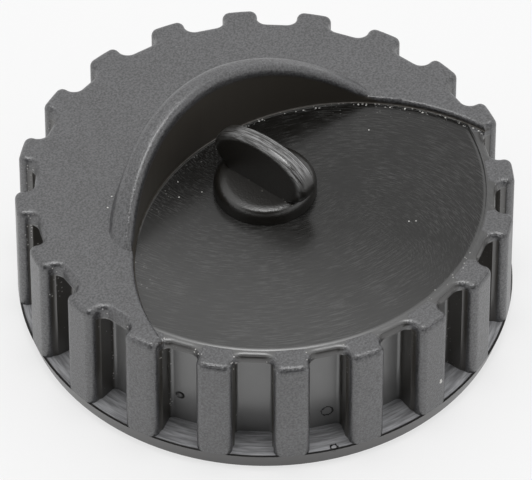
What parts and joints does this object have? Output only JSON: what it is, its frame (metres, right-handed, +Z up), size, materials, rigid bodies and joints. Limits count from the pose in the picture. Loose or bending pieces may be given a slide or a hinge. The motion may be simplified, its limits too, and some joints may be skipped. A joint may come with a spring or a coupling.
{
  "type": "tank filler cap",
  "caption": "Round ribbed screw cap for a tank neck, with a dished face, a raised crescent guard and a hand-turned air vent knob.",
  "frame": {"origin": "centre of the cap's bottom edge", "axes": "+Z up out of the tank along the cap's axis, +Y towards the middle of the raised guard"},
  "size_m": [0.09, 0.09, 0.0398],
  "materials": {
    "cap_plastic": "moulded black plastic with a fine matte grain, polished on the dished face and between the ribs",
    "knob_plastic": "moulded black plastic, satin",
    "gasket_rubber": "cut rubber sheet",
    "seal_rubber": "moulded rubber",
    "clip_steel": "stamped stainless spring steel"
  },
  "bodies": {
    "cap": {"cap_body": "cap_plastic", "neck_gasket": "gasket_rubber"},
    "vent_lift": {"retaining_clip": "clip_steel"},
    "vent_screw": {"vent_knob": "knob_plastic", "vent_seal_ring": "seal_rubber"}
  },
  "joints": [
    {"name": "vent_rise", "type": "slide", "parent": "cap", "child": "vent_lift", "axis": [0, 0, 1], "range_m": [0, 0.0019]},
    {"name": "vent_turn", "type": "hinge", "parent": "vent_lift", "child": "vent_screw", "pos_m": [0, 0, 0.02], "axis": [0, 0, 1], "range_deg": [0, 450]}
  ],
  "couplings": [
    {"joint": "vent_rise", "follows": "vent_turn", "m_per_rad": 0.00023873}
  ]
}
